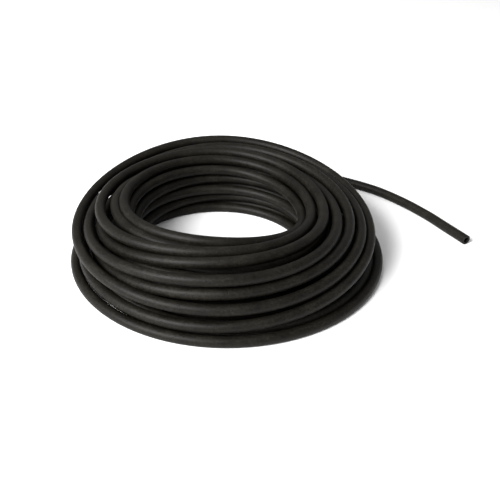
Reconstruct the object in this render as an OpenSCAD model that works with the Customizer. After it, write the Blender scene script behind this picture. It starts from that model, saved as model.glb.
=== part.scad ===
// Coil of porous soaker hose, lying flat on its side, with one bare end swept out.
// Frame: +Z up, origin on the floor under the middle of the outermost turn, the free end on +X.
// One hose, in stretches: the inner turns as a plain ring, the turns that show as one wound
// tube, and the free tail in a fixed lead, a bending stretch and a loose length with an open end.

/* [Hose] */
// Outside diameter of the hose
hose_d = 7; // [6:0.1:8]
// Diameter of the bore
bore_d = 4; // [3:0.1:5]
// Length of straight hose at the open end
end_l = 21; // [15:1:30]

/* [Coil] */
// Radius of the innermost turn, to the middle of the hose
eye_r = 61; // [55:0.5:75]
// Least gap between turns that lie next to each other
turn_gap = 0.5; // [0.45:0.05:1]
// Width of the coil as a share of its depth
oval = 0.965; // [0.95:0.005:1]
// How much lower the stack is on the right than on the left
side_drop = 3.5; // [0:0.5:5]
// How far the eye sits to the left of the outer turn's middle
eye_left = 2; // [0:0.5:4]
// How far the eye sits in front of the outer turn's middle, at the floor
eye_front = 4.5; // [0:0.5:5]
// How far the top of the stack leans back
lean_back = 1; // [0:0.5:4]

/* [Tail] */
// Angle at which the hose leaves the outer turn
tail_from = 176; // [174:0.5:178]

/* [Hidden] */
// Share of the hose diameter that is flattened where the coil stands
flat_share = 0.1;
// Rings of points in one turn, and corners of each ring
loop_rings = 24;
loop_sides = 6;
// Corners of the free tail's rings, and rings from one point of its route to the next
tail_sides = 10;
tail_steps = 2;
// Sections round the plain inner ring
ring_steps = 48;

pitch = hose_d + turn_gap;
floor_z = hose_d * (0.5 - flat_share);
tail_z = hose_d / 2;

// Where a turn lies at the back, right, front and left: [columns out from the eye, layers up].
// The hose winds in along the floor, up the wall of the eye, out over the top and down the
// outside. This is the turn at the foot of the wall.
foot = [[0.15, 0], [0, 0], [0, 0.35], [0.15, 0.85]];
// Turns on the floor outside the foot, and columns from one to the next
floor_turns = 4;
floor_step = 1.15;
// Turns on the wall above the foot, layers from one to the next, and columns that every
// second one stands back
wall_turns = 3;
wall_step = 0.97;
wall_nest = 0.5;
// Turns on the top and the outside. At the front and right they lie side by side, and at the
// back and left every second one dives under its neighbour.
crossing_turns = [
    [[0.25, 3.95], [-0.65, 3.75], [0.35, 5.4], [1.1, 4.7]],
    [[0.95, 4.7], [0.05, 4.6], [1.75, 5.35], [3.45, 4.35]],
    [[1.9, 5.15], [1.1, 4.85], [3, 5.2], [3.4, 3]],
    [[2.5, 4.1], [2.2, 4.45], [4.65, 4.65], [4.5, 3.2]],
    [[3.15, 5.15], [3.4, 4.25], [4.65, 3.45], [4.1, 1.9]],
    [[4.05, 4.35], [4.5, 3.6], [5.35, 2.45], [5.8, 2.95]],
    [[5.2, 5.1], [5.4, 3.05], [5.65, 1.1], [5.35, 0.8]],
    [[5.85, 0.6], [6.35, 0.05], [6.1, 0], [6.25, 0]]
];
// The turn at the first of these places, at the back, and the turn where the tube starts
back_turn = 0.2;
first_turn = 0.25;
// The turn that reaches the front of the coil, where the last loop lies on the floor
last_turn = 15.7;
// Columns and layers of the whole stack
columns = 6.05;
layers = 5.85;

// Section of the plain inner ring: [columns out, layers up]
ring_section = [
    [1.25, 0.58],
    [4.65, 0.58],
    [4.65, 1.25],
    [3.5, 1.45],
    [2.75, 2.4],
    [2.3, 2.9],
    [1.75, 3.2],
    [1.4, 3],
    [1.25, 2.2]
];

// Free tail on the floor: [angle, how far outside the outer turn]
tail_lay = [
    [165, 2],
    [150, 5],
    [135, 9],
    [120, 13],
    [105, 18],
    [90, 22],
    [75, 27],
    [60, 33],
    [48, 38],
    [36, 45],
    [26, 50],
    [16.5, 55.5],
    [9, 61]
];
// Points of the tail where the bending stretch begins and ends
bend_first = 4;
bend_last = 5;

// Place of a point in the stack, from its column, layer and angle
function place(column, layer, angle) =
    let (
        radius = eye_r + column * pitch,
        inward = 1 - column / columns,
        height = layer / layers
    )
    [
        oval * radius * cos(angle) - eye_left * inward,
        radius * sin(angle) - eye_front * inward * (1 - height) + lean_back * height,
        floor_z + layer * pitch - side_drop * height * cos(angle)
    ];

// A smooth curve from b to c, on the way from a to d, at the share f
function curve(a, b, c, d, f) =
    b + f * (c - a) / 2 + f * f * (a - 2.5 * b + 2 * c - d / 2)
        + f * f * f * (1.5 * b - 1.5 * c + d / 2 - a / 2);

// The places of all turns, four to a turn, and the route through them
laid = [
    for (n = [floor_turns : -1 : 1], p = foot) [p[0] + floor_step * n, 0],
    for (n = [0 : wall_turns], p = foot) [p[0] + wall_nest * (n % 2), p[1] + wall_step * n],
    for (turn = crossing_turns, p = turn) p
];
function laid_at(i) = laid[max(0, min(len(laid) - 1, i))];
function turn_angle(turn) = 270 - 360 * (turn - last_turn);
function route_point(turn) =
    let (
        quarter = 4 * (turn - back_turn),
        i = floor(quarter),
        p = curve(laid_at(i - 1), laid_at(i), laid_at(i + 1), laid_at(i + 2), quarter - i)
    )
    place(p[0], p[1], turn_angle(turn));

end_turn = last_turn + (270 - tail_from) / 360;
turn_count = floor((end_turn - first_turn) * loop_rings);
coil_route = [for (i = [0 : turn_count]) route_point(end_turn - (turn_count - i) / loop_rings)];

// Least gap of the wound tube to itself, between points half a turn or more apart
least_gap = min([
    for (i = [0 : turn_count - loop_rings / 2])
    for (j = [i + loop_rings / 2 : turn_count])
    norm(coil_route[i] - coil_route[j])
]) - hose_d;
echo(least_gap = least_gap);

function unit(v) = v / norm(v);
function total(list, i = 0) = i < len(list) ? list[i] + total(list, i + 1) : 0;
function route_length(route) =
    total([for (i = [1 : len(route) - 1]) norm(route[i] - route[i - 1])]);

// The wound tube runs straight for one diameter at both ends
coil_dir_0 = unit(coil_route[1] - coil_route[0]);
coil_dir_1 = unit(coil_route[turn_count] - coil_route[turn_count - 1]);
coil_end = coil_route[turn_count] + hose_d * [coil_dir_1[0], coil_dir_1[1], 0];
coil_path = concat([coil_route[0] - hose_d * coil_dir_0], coil_route, [coil_end]);

// The tail's points on the floor, and the curve through them
outer_r = eye_r + columns * pitch;
tail_points = concat(
    [coil_end],
    [for (p = tail_lay)
        let (radius = oval * outer_r + p[1])
        [radius * cos(p[0]), radius * sin(p[0]), tail_z]
    ]
);
tail_last = len(tail_points) - 1;
function tail_knot(i) =
    i < 0 ? coil_route[turn_count] :
    i > tail_last ? 2 * tail_points[tail_last] - tail_points[tail_last - 1] :
    tail_points[i];
function tail_at(s) =
    let (i = min(floor(s), tail_last - 1))
    curve(tail_knot(i - 1), tail_knot(i), tail_knot(i + 1), tail_knot(i + 2), s - i);
function tail_dir(s) =
    s <= 0 ? unit([coil_dir_1[0], coil_dir_1[1], 0]) : unit(tail_at(s + 0.01) - tail_at(s - 0.01));
tail_end = tail_points[tail_last];
end_dir = unit(tail_points[tail_last] - tail_points[tail_last - 1]);
end_angle = atan2(end_dir[1], end_dir[0]);
tip = tail_end + end_l * end_dir;
hinge = tail_at((bend_first + bend_last) / 2);
tail_route = [for (k = [0 : tail_last * tail_steps]) tail_at(k / tail_steps)];
shown_l = route_length(coil_path) + route_length(tail_route) + end_l;
echo(hinge = hinge, tip = tip, end_dir = end_dir, shown_l = shown_l);

// A tube as rings of points along a path, no lower than the floor, closed with triangles
function ring(centre, dir, sides, first_angle) =
    let (
        across = unit(cross([0, 0, 1], dir)),
        up = cross(dir, across)
    )
    [for (k = [0 : sides - 1])
        let (
            a = first_angle + 360 * k / sides,
            p = centre + hose_d / 2 * (cos(a) * across + sin(a) * up)
        )
        [p[0], p[1], max(0, p[2])]
    ];
function tube_faces(rings, sides) = concat(
    [for (k = [1 : sides - 2]) [0, k, k + 1]],
    [for (i = [0 : rings - 2], k = [0 : sides - 1])
        [i * sides + k, (i + 1) * sides + k, i * sides + (k + 1) % sides]],
    [for (i = [0 : rings - 2], k = [0 : sides - 1])
        [i * sides + (k + 1) % sides, (i + 1) * sides + k, (i + 1) * sides + (k + 1) % sides]],
    [for (k = [1 : sides - 2])
        [(rings - 1) * sides, (rings - 1) * sides + k + 1, (rings - 1) * sides + k]]
);
module tube(path, dirs, sides, first_angle) {
    points = [for (i = [0 : len(path) - 1]) each ring(path[i], dirs[i], sides, first_angle)];
    polyhedron(points, tube_faces(len(path), sides), convexity = 10);
}
module tail_tube(from, to) {
    places = [for (k = [0 : (to - from) * tail_steps]) from + k / tail_steps];
    tube([for (s = places) tail_at(s)], [for (s = places) tail_dir(s)], tail_sides, 90);
}

module inner_turns() {
    sides = len(ring_section);
    points = [for (i = [0 : ring_steps - 1], p = ring_section)
        place(p[0], p[1], 360 * i / ring_steps)
    ];
    faces = concat(
        [for (i = [0 : ring_steps - 1], k = [0 : sides - 1])
            let (j = (i + 1) % ring_steps)
            [i * sides + k, i * sides + (k + 1) % sides, j * sides + k]],
        [for (i = [0 : ring_steps - 1], k = [0 : sides - 1])
            let (j = (i + 1) % ring_steps)
            [i * sides + (k + 1) % sides, j * sides + (k + 1) % sides, j * sides + k]]
    );
    color([0.09, 0.085, 0.08]) polyhedron(points, faces, convexity = 10);
}

module outer_turns() {
    last = len(coil_path) - 1;
    dirs = [for (i = [0 : last])
        i < 2 ? coil_dir_0 :
        i > last - 2 ? tail_dir(0) :
        unit(coil_path[i + 1] - coil_path[i - 1])
    ];
    color([0.13, 0.125, 0.12]) tube(coil_path, dirs, loop_sides, 0);
}

module tail_lead() {
    color([0.13, 0.125, 0.12]) tail_tube(0, bend_first);
}

module tail_bend() {
    color([0.15, 0.145, 0.14]) tail_tube(bend_first, bend_last);
}

module tail() {
    color([0.13, 0.125, 0.12]) tail_tube(bend_last, tail_last);
}

module open_end() {
    color([0.15, 0.145, 0.14])
        translate(tail_end)
            rotate([0, 90, end_angle])
                difference() {
                    cylinder(h = end_l, d = hose_d);
                    translate([0, 0, -1])
                        cylinder(h = end_l + 2, d = bore_d);
                }
}

inner_turns();
outer_turns();
tail_lead();
tail_bend();
tail();
open_end();
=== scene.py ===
"""A flat coil of porous soaker hose with one bare open end swept out, dressed for rendering."""

import math

import bpy
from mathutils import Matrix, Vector


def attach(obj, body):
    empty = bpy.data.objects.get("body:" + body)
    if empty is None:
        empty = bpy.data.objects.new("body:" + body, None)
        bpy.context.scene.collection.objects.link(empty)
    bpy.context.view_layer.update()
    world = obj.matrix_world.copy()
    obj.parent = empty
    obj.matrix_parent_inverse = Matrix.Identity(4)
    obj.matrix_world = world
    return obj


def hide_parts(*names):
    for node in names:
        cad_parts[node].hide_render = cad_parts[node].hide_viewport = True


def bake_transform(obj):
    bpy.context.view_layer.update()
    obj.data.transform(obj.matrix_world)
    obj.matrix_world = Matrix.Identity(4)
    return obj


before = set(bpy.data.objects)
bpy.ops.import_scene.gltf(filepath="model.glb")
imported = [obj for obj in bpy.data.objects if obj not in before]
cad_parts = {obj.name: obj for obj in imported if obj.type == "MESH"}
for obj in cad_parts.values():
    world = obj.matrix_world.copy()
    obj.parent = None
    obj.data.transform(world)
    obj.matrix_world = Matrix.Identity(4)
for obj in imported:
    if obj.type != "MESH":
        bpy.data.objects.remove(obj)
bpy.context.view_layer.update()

# Sizes of the hose and its coil, in metres and degrees
HOSE_D = 0.007
BORE_D = 0.004
END_L = 0.021
EYE_R = 0.061
TURN_GAP = 0.0005
OVAL = 0.965
SIDE_DROP = 0.0035
EYE_LEFT = 0.002
EYE_FRONT = 0.0045
LEAN_BACK = 0.001
TAIL_FROM = 176.0

PITCH = HOSE_D + TURN_GAP
FLOOR_Z = 0.4 * HOSE_D
COLUMNS = 6.05
LAYERS = 5.85
BACK_TURN = 0.2
LAST_TURN = 15.7

# Where a turn lies at the back, right, front and left: columns out from the eye, layers up.
# The foot is the turn at the foot of the eye's wall.
FOOT = [(0.15, 0), (0, 0), (0, 0.35), (0.15, 0.85)]
FLOOR_TURNS = 4
FLOOR_STEP = 1.15
WALL_TURNS = 3
WALL_STEP = 0.97
WALL_NEST = 0.5

# Turns on the top and the outside, where every second one dives at the back and left
CROSSING_TURNS = [
    [(0.25, 3.95), (-0.65, 3.75), (0.35, 5.4), (1.1, 4.7)],
    [(0.95, 4.7), (0.05, 4.6), (1.75, 5.35), (3.45, 4.35)],
    [(1.9, 5.15), (1.1, 4.85), (3, 5.2), (3.4, 3)],
    [(2.5, 4.1), (2.2, 4.45), (4.65, 4.65), (4.5, 3.2)],
    [(3.15, 5.15), (3.4, 4.25), (4.65, 3.45), (4.1, 1.9)],
    [(4.05, 4.35), (4.5, 3.6), (5.35, 2.45), (5.8, 2.95)],
    [(5.2, 5.1), (5.4, 3.05), (5.65, 1.1), (5.35, 0.8)],
    [(5.85, 0.6), (6.35, 0.05), (6.1, 0), (6.25, 0)],
]

# Turns wound inside the coil, from the hidden end to the floor
INNER_TURNS = [
    [(1.2, 3.6), (0.5, 3.9), (0.95, 4.85), (1.95, 4.45)],
    [(1.45, 3.7), (1.25, 3.75), (1.65, 3.6), (1.6, 3.3)],
    [(1.7, 2.85), (1.75, 2.9), (1.4, 2.75), (1.35, 2.4)],
    [(2.85, 2.7), (2.8, 2.95), (3.3, 3.85), (2.35, 2.35)],
    [(3.9, 2.3), (4.9, 2), (4.5, 1.85), (5.6, 2.05)],
    [(5.5, 2.75), (3.9, 2.75), (3.4, 2.9), (2.8, 1.65)],
    [(2.3, 1.85), (2.3, 2), (2.15, 1.95), (1.75, 1.65)],
    [(1.4, 1.9), (1.5, 1.1), (1.6, 1), (1.25, 0.9)],
    [(2.7, 1), (2.8, 1.05), (2.65, 1), (2.25, 0.9)],
    [(3.7, 1), (4.1, 1.05), (3.65, 1), (3.3, 0.9)],
    [(4.9, 1.1), (5.5, 0.2), (5.05, 0.55), (4.3, 1)],
]
# The turn at which the hidden end lies
HIDDEN_END = -10.37

# Free tail on the floor: angle, and how far outside the outer turn in millimetres
TAIL_LAY = [
    (165, 2),
    (150, 5),
    (135, 9),
    (120, 13),
    (105, 18),
    (90, 22),
    (75, 27),
    (60, 33),
    (48, 38),
    (36, 45),
    (26, 50),
    (16.5, 55.5),
    (9, 61),
]
BEND_FIRST = 4

# Fineness of the mesh: rings to a turn, corners of a ring, rings from one point of the tail to
# the next, and rings in the straight end
RINGS_PER_TURN = 96
SIDES = 20
TAIL_RINGS = 8
END_RINGS = 6
# Edges sharper than this stay sharp, in degrees
SHARP_ANGLE = 50
# Worn edge of the cut end
WORN_EDGE = 0.00025

# The camera, from the photograph: picture width, focal length and hose width in pixels,
# then how far it looks down in degrees, and its shift in picture widths
PICTURE_PX = 500
FOCAL_PX = 700
HOSE_PX = 9.9
CAMERA_LIFT = 31.5
CAMERA_SHIFT = (0.048, -0.0012)
SENSOR_MM = 36.0

# What the lights are aimed at, and how far the studio floor lies under the hose
AIM = (0, 0, 0.02)
FLOOR_GAP = 0.0001


# The route of the hose


def curve(a, b, c, d, f):
    """A smooth curve from b to c, on the way from a to d, at the share f."""
    return (
        b
        + f * (c - a) / 2
        + f * f * (a - 2.5 * b + 2 * c - d / 2)
        + f**3 * (1.5 * b - 1.5 * c + d / 2 - a / 2)
    )


def all_places():
    """The places of all turns, four to a turn, from the hidden end to the tail."""
    places = [p for turn in INNER_TURNS for p in turn]
    for n in range(FLOOR_TURNS, 0, -1):
        places += [(column + FLOOR_STEP * n, 0) for column, _ in FOOT]
    for n in range(WALL_TURNS + 1):
        nest = WALL_NEST * (n % 2)
        places += [(column + nest, layer + WALL_STEP * n) for column, layer in FOOT]
    places += [p for turn in CROSSING_TURNS for p in turn]
    return [Vector(p) for p in places]


laid = all_places()


def laid_at(i):
    """A place by its number, held at the first and the last."""
    return laid[max(0, min(len(laid) - 1, i))]


def turn_point(turn):
    """Middle of the hose at a turn of the coil."""
    quarter = 4 * (turn - BACK_TURN + len(INNER_TURNS))
    i = math.floor(quarter)
    column, layer = curve(*(laid_at(i + k) for k in (-1, 0, 1, 2)), quarter - i)
    angle = math.radians(270 - 360 * (turn - LAST_TURN))
    radius = EYE_R + column * PITCH
    inward = 1 - column / COLUMNS
    height = layer / LAYERS
    x = OVAL * radius * math.cos(angle) - EYE_LEFT * inward
    y = radius * math.sin(angle) - EYE_FRONT * inward * (1 - height) + LEAN_BACK * height
    z = FLOOR_Z + layer * PITCH - SIDE_DROP * height * math.cos(angle)
    return Vector((x, y, z))


def run_length(points):
    """Length of a path, in metres."""
    return sum((b - a).length for a, b in zip(points, points[1:]))


END_TURN = LAST_TURN + (270 - TAIL_FROM) / 360
turn_count = math.floor((END_TURN - HIDDEN_END) * RINGS_PER_TURN)
coil_path = [turn_point(END_TURN - k / RINGS_PER_TURN) for k in range(turn_count, -1, -1)]
coil_stop = coil_path[-1]
coil_dir = coil_stop - coil_path[-2]
coil_dir.z = 0
coil_end = coil_stop + HOSE_D * coil_dir.normalized()

outer_r = EYE_R + COLUMNS * PITCH
tail_points = [coil_end]
for bearing, off in TAIL_LAY:
    reach = OVAL * outer_r + off / 1000
    bearing = math.radians(bearing)
    tail_points.append(
        Vector((reach * math.cos(bearing), reach * math.sin(bearing), HOSE_D / 2))
    )
TAIL_LAST = len(tail_points) - 1


def tail_knot(i):
    """A point of the tail by its number, and one more before and after them."""
    if i < 0:
        return coil_stop
    if i > TAIL_LAST:
        return 2 * tail_points[TAIL_LAST] - tail_points[TAIL_LAST - 1]
    return tail_points[i]


def tail_point(s):
    """Middle of the free tail, on a smooth curve through its points."""
    i = min(int(s), TAIL_LAST - 1)
    return curve(*(tail_knot(i + k) for k in (-1, 0, 1, 2)), s - i)


def tail_run(first, last):
    """Points along the tail, from one of its knots to another."""
    count = (last - first) * TAIL_RINGS
    return [tail_point(first + k / TAIL_RINGS) for k in range(count + 1)]


end_dir = (tail_points[-1] - tail_points[-2]).normalized()
tip = tail_points[-1] + END_L * end_dir
coil_path += tail_run(0, BEND_FIRST)
tail_path = tail_run(BEND_FIRST, TAIL_LAST)
tail_path += [
    tail_points[-1] + end_dir * END_L * k / END_RINGS for k in range(1, END_RINGS + 1)
]


# The hose as a mesh


def ring_points(centre, direction, radius):
    """A ring of the hose, flattened where it meets the floor."""
    across = Vector((0, 0, 1)).cross(direction).normalized()
    up = direction.cross(across)
    ring = []
    for k in range(SIDES):
        a = 2 * math.pi * (k + 0.5) / SIDES
        p = centre + radius * (math.cos(a) * across + math.sin(a) * up)
        ring.append(Vector((p.x, p.y, max(0.0, p.z))))
    return ring


def directions(path, first=None, last=None):
    """The way the hose runs at each point of a path."""
    dirs = []
    for i in range(len(path)):
        a = path[max(0, i - 1)]
        b = path[min(len(path) - 1, i + 1)]
        dirs.append((b - a).normalized())
    dirs[0] = first or dirs[0]
    dirs[-1] = last or dirs[-1]
    return dirs


def wrap_along(mesh, along):
    """A UV map in metres: along the hose, and round it."""
    wrap = mesh.uv_layers.new(name="along_hose")
    around = math.pi * HOSE_D
    for face in mesh.polygons:
        seam = len(face.vertices) == 4 and face.index % SIDES == SIDES - 1
        for corner, v in zip(face.loop_indices, face.vertices):
            k = v % SIDES
            if seam and k == 0:
                k = SIDES
            wrap.data[corner].uv = (along[v // SIDES], around * k / SIDES)


def sweep(name, stations):
    """A closed tube through stations: middle, direction, radius and distance along the hose."""
    verts = []
    faces = []
    for centre, direction, radius, _ in stations:
        verts += ring_points(centre, direction, radius)
    for i in range(len(stations) - 1):
        here = i * SIDES
        there = here + SIDES
        for k in range(SIDES):
            n = (k + 1) % SIDES
            faces.append((here + k, there + k, there + n, here + n))
    top = (len(stations) - 1) * SIDES
    faces.append(tuple(range(SIDES)))
    faces.append(tuple(top + k for k in reversed(range(SIDES))))
    mesh = bpy.data.meshes.new(name)
    mesh.from_pydata(verts, [], faces)
    mesh.update()
    wrap_along(mesh, [station[3] for station in stations])
    piece = bpy.data.objects.new(name, mesh)
    bpy.context.scene.collection.objects.link(piece)
    bpy.ops.object.select_all(action="DESELECT")
    piece.select_set(True)
    bpy.context.view_layer.objects.active = piece
    bpy.ops.object.mode_set(mode="EDIT")
    bpy.ops.mesh.select_all(action="SELECT")
    bpy.ops.mesh.normals_make_consistent(inside=False)
    bpy.ops.object.mode_set(mode="OBJECT")
    bpy.ops.object.shade_smooth_by_angle(angle=math.radians(SHARP_ANGLE))
    return piece


def stations_along(path, dirs, start):
    """Stations of plain hose, start metres along it."""
    out = []
    distance = start
    for i, (p, d) in enumerate(zip(path, dirs)):
        if i:
            distance += (p - path[i - 1]).length
        out.append((p, d, HOSE_D / 2, distance))
    return out


def make_coil(joint_dir):
    """The coil and the lead of the tail, as one tube."""
    dirs = directions(coil_path, last=joint_dir)
    return sweep("hose_coil", stations_along(coil_path, dirs, 0.0))


def make_tail(joint_dir):
    """The loose tail, from where it bends to its open end."""
    dirs = directions(tail_path, first=joint_dir, last=end_dir)
    stations = stations_along(tail_path, dirs, run_length(coil_path))
    outside = HOSE_D / 2
    bore = BORE_D / 2
    edge = WORN_EDGE
    far = stations.pop()[3]
    # The cut end: a slightly worn edge, the flat of the cut, and the bore behind it
    for back, radius in (
        (2.0 * edge, outside),
        (edge, outside),
        (0.3 * edge, outside - 0.3 * edge),
        (0.0, outside - edge),
        (0.0, 0.5 * (outside + bore)),
        (0.0, bore + edge),
        (0.3 * edge, bore + 0.3 * edge),
        (edge, bore),
        (0.2 * END_L, bore),
        (0.55 * END_L, bore),
        (END_L, bore),
    ):
        stations.append((tip - end_dir * back, end_dir, radius, far - back))
    return sweep("hose_tail", stations)


# The porous rubber


def add(tree, kind, **values):
    """A new node in a tree, with its settings."""
    node = tree.nodes.new(kind)
    for key, value in values.items():
        setattr(node, key, value)
    return node


def crumb_grain_group():
    """Grain of crumb rubber: tone over the surface, a pore mask for the painted shade in the
    pits, roughness, and height for bump.
    """
    group = bpy.data.node_groups.new("crumb_grain", "ShaderNodeTree")
    sockets = group.interface
    sockets.new_socket("Vector", in_out="INPUT", socket_type="NodeSocketVector")
    sockets.new_socket("Along", in_out="INPUT", socket_type="NodeSocketVector")
    for label, value in (("Grain", 850.0), ("Pits", 700.0), ("Clouds", 90.0)):
        s = sockets.new_socket(label, in_out="INPUT", socket_type="NodeSocketFloat")
        s.default_value = value
    for label in ("Tone", "Pit Shade", "Roughness", "Height"):
        sockets.new_socket(label, in_out="OUTPUT", socket_type="NodeSocketFloat")
    links = group.links
    put = add(group, "NodeGroupInput")
    out = add(group, "NodeGroupOutput")

    grain = add(group, "ShaderNodeTexNoise")
    grain.inputs["Detail"].default_value = 3.0
    grain.inputs["Roughness"].default_value = 0.6
    links.new(put.outputs["Vector"], grain.inputs["Vector"])
    links.new(put.outputs["Grain"], grain.inputs["Scale"])

    pits = add(group, "ShaderNodeTexVoronoi")
    links.new(put.outputs["Vector"], pits.inputs["Vector"])
    links.new(put.outputs["Pits"], pits.inputs["Scale"])
    pit = add(group, "ShaderNodeMapRange", interpolation_type="SMOOTHSTEP")
    pit.inputs["From Min"].default_value = 0.10
    pit.inputs["From Max"].default_value = 0.34
    pit.inputs["To Min"].default_value = 1.0
    pit.inputs["To Max"].default_value = 0.0
    links.new(pits.outputs["Distance"], pit.inputs["Value"])
    # Only some of the cells are open pores
    some = add(group, "ShaderNodeSeparateColor")
    links.new(pits.outputs["Color"], some.inputs["Color"])
    keep = add(group, "ShaderNodeMath", operation="GREATER_THAN")
    keep.inputs[1].default_value = 0.45
    links.new(some.outputs["Red"], keep.inputs[0])
    # The pore mask: it sets the bump height of the pits and where their painted shade goes
    pore_and_shade = add(group, "ShaderNodeMath", operation="MULTIPLY")
    links.new(pit.outputs["Result"], pore_and_shade.inputs[0])
    links.new(keep.outputs["Value"], pore_and_shade.inputs[1])

    clouds = add(group, "ShaderNodeTexNoise")
    clouds.inputs["Detail"].default_value = 4.0
    links.new(put.outputs["Vector"], clouds.inputs["Vector"])
    links.new(put.outputs["Clouds"], clouds.inputs["Scale"])
    # Slow change of tone along the hose, as it came out of the die
    batch = add(group, "ShaderNodeTexNoise")
    batch.inputs["Scale"].default_value = 9.0
    batch.inputs["Detail"].default_value = 2.0
    along = add(group, "ShaderNodeVectorMath", operation="MULTIPLY")
    along.inputs[1].default_value = (1.0, 0.0, 0.0)
    links.new(put.outputs["Along"], along.inputs[0])
    links.new(along.outputs["Vector"], batch.inputs["Vector"])

    slow = add(group, "ShaderNodeMix", data_type="FLOAT")
    slow.inputs["Factor"].default_value = 0.45
    links.new(clouds.outputs["Fac"], slow.inputs["A"])
    links.new(batch.outputs["Fac"], slow.inputs["B"])
    tone = add(group, "ShaderNodeMix", data_type="FLOAT")
    tone.inputs["Factor"].default_value = 0.5
    links.new(slow.outputs["Result"], tone.inputs["A"])
    links.new(grain.outputs["Fac"], tone.inputs["B"])
    links.new(tone.outputs["Result"], out.inputs["Tone"])
    links.new(pore_and_shade.outputs["Value"], out.inputs["Pit Shade"])

    rough = add(group, "ShaderNodeMapRange")
    rough.inputs["From Min"].default_value = 0.3
    rough.inputs["From Max"].default_value = 0.7
    rough.inputs["To Min"].default_value = 0.42
    rough.inputs["To Max"].default_value = 0.6
    links.new(tone.outputs["Result"], rough.inputs["Value"])
    links.new(rough.outputs["Result"], out.inputs["Roughness"])

    deep = add(group, "ShaderNodeMath", operation="MULTIPLY")
    deep.inputs[1].default_value = 0.9
    links.new(pore_and_shade.outputs["Value"], deep.inputs[0])
    height = add(group, "ShaderNodeMath", operation="SUBTRACT")
    links.new(grain.outputs["Fac"], height.inputs[0])
    links.new(deep.outputs["Value"], height.inputs[1])
    links.new(height.outputs["Value"], out.inputs["Height"])
    return group


def porous_rubber():
    """Matte black rubber with the crumb grain, and painted shade in its pores."""
    mat = bpy.data.materials.new("porous_rubber")
    mat.use_nodes = True
    tree = mat.node_tree
    links = tree.links
    shader = tree.nodes["Principled BSDF"]
    place = add(tree, "ShaderNodeTexCoord")
    grain = add(tree, "ShaderNodeGroup")
    grain.node_tree = crumb_grain_group()
    links.new(place.outputs["Object"], grain.inputs["Vector"])
    links.new(place.outputs["UV"], grain.inputs["Along"])

    ramp = add(tree, "ShaderNodeValToRGB")
    stops = ramp.color_ramp.elements
    stops[0].position = 0.38
    stops[0].color = (0.0018, 0.0015, 0.0011, 1)
    stops[1].position = 0.64
    stops[1].color = (0.0145, 0.0126, 0.0090, 1)
    mid = stops.new(0.52)
    mid.color = (0.0062, 0.0054, 0.0038, 1)
    links.new(grain.outputs["Tone"], ramp.inputs["Fac"])
    # Painted shade: the pores are painted near black, as shade in the pits, on top of their
    # bump
    pore_and_shade = add(tree, "ShaderNodeMix", data_type="RGBA")
    pore_and_shade.inputs["B"].default_value = (0.002, 0.002, 0.002, 1)
    links.new(grain.outputs["Pit Shade"], pore_and_shade.inputs["Factor"])
    links.new(ramp.outputs["Color"], pore_and_shade.inputs["A"])
    links.new(pore_and_shade.outputs["Result"], shader.inputs["Base Color"])
    links.new(grain.outputs["Roughness"], shader.inputs["Roughness"])
    bump = add(tree, "ShaderNodeBump")
    bump.inputs["Strength"].default_value = 0.5
    bump.inputs["Distance"].default_value = 0.00025
    links.new(grain.outputs["Height"], bump.inputs["Height"])
    links.new(bump.outputs["Normal"], shader.inputs["Normal"])
    shader.inputs["Specular IOR Level"].default_value = 0.13
    return mat


# Camera, floor and light


def set_camera():
    """The camera of the photograph, in front of the coil and looking down on it."""
    data = bpy.data.cameras.new("photo_camera")
    data.sensor_width = SENSOR_MM
    data.lens = SENSOR_MM * FOCAL_PX / PICTURE_PX
    data.shift_x, data.shift_y = CAMERA_SHIFT
    camera = bpy.data.objects.new("photo_camera", data)
    bpy.context.scene.collection.objects.link(camera)
    distance = HOSE_D * FOCAL_PX / HOSE_PX
    lift = math.radians(CAMERA_LIFT)
    camera.location = (0, -distance * math.cos(lift), distance * math.sin(lift))
    camera.rotation_euler = (math.pi / 2 - lift, 0, 0)
    bpy.context.scene.camera = camera


def plain_material(name, colour, roughness):
    mat = bpy.data.materials.new(name)
    mat.use_nodes = True
    shader = mat.node_tree.nodes["Principled BSDF"]
    shader.inputs["Base Color"].default_value = colour
    shader.inputs["Roughness"].default_value = roughness
    return mat


def lay_floor():
    """A white floor, not attached to any body."""
    bpy.ops.object.select_all(action="DESELECT")
    bpy.ops.mesh.primitive_plane_add(size=8, location=(0, 0, -FLOOR_GAP))
    floor = bpy.context.active_object
    floor.name = "studio_floor"
    floor.data.materials.append(plain_material("studio_white", (0.9, 0.9, 0.9, 1), 0.8))


def softbox(name, place, size, power):
    """A rectangular light aimed at the coil."""
    bpy.ops.object.light_add(type="AREA", location=place)
    light = bpy.context.active_object
    light.name = name
    light.data.shape = "RECTANGLE"
    light.data.size, light.data.size_y = size
    light.data.energy = power
    light.rotation_euler = (Vector(AIM) - Vector(place)).to_track_quat("-Z", "Y").to_euler()


def set_light():
    """A white studio with a key light at the front left and a weak one above."""
    world = bpy.data.worlds.new("studio")
    bpy.context.scene.world = world
    world.use_nodes = True
    backdrop = world.node_tree.nodes["Background"]
    backdrop.inputs["Color"].default_value = (1.0, 1.0, 1.0, 1)
    backdrop.inputs["Strength"].default_value = 0.4
    softbox("key_softbox", (-1.3, -1.05, 1.2), (1.1, 1.1), 118)
    softbox("top_softbox", (-0.2, 0.4, 1.4), (1.4, 1.4), 3)
    bpy.context.scene.view_settings.view_transform = "Standard"


# The whole scene

set_camera()
rubber = porous_rubber()
# Coil and tail meet in one ring, square to the way the hose runs there
joint_dir = (tail_point(BEND_FIRST + 0.02) - tail_point(BEND_FIRST - 0.02)).normalized()
coil = make_coil(joint_dir)
tail = make_tail(joint_dir)
for piece in (coil, tail):
    piece.data.materials.append(rubber)

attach(coil, "coil")
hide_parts("inner_turns", "outer_turns", "tail_lead")
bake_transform(tail)
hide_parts("tail_bend", "tail", "open_end")

lay_floor()
set_light()
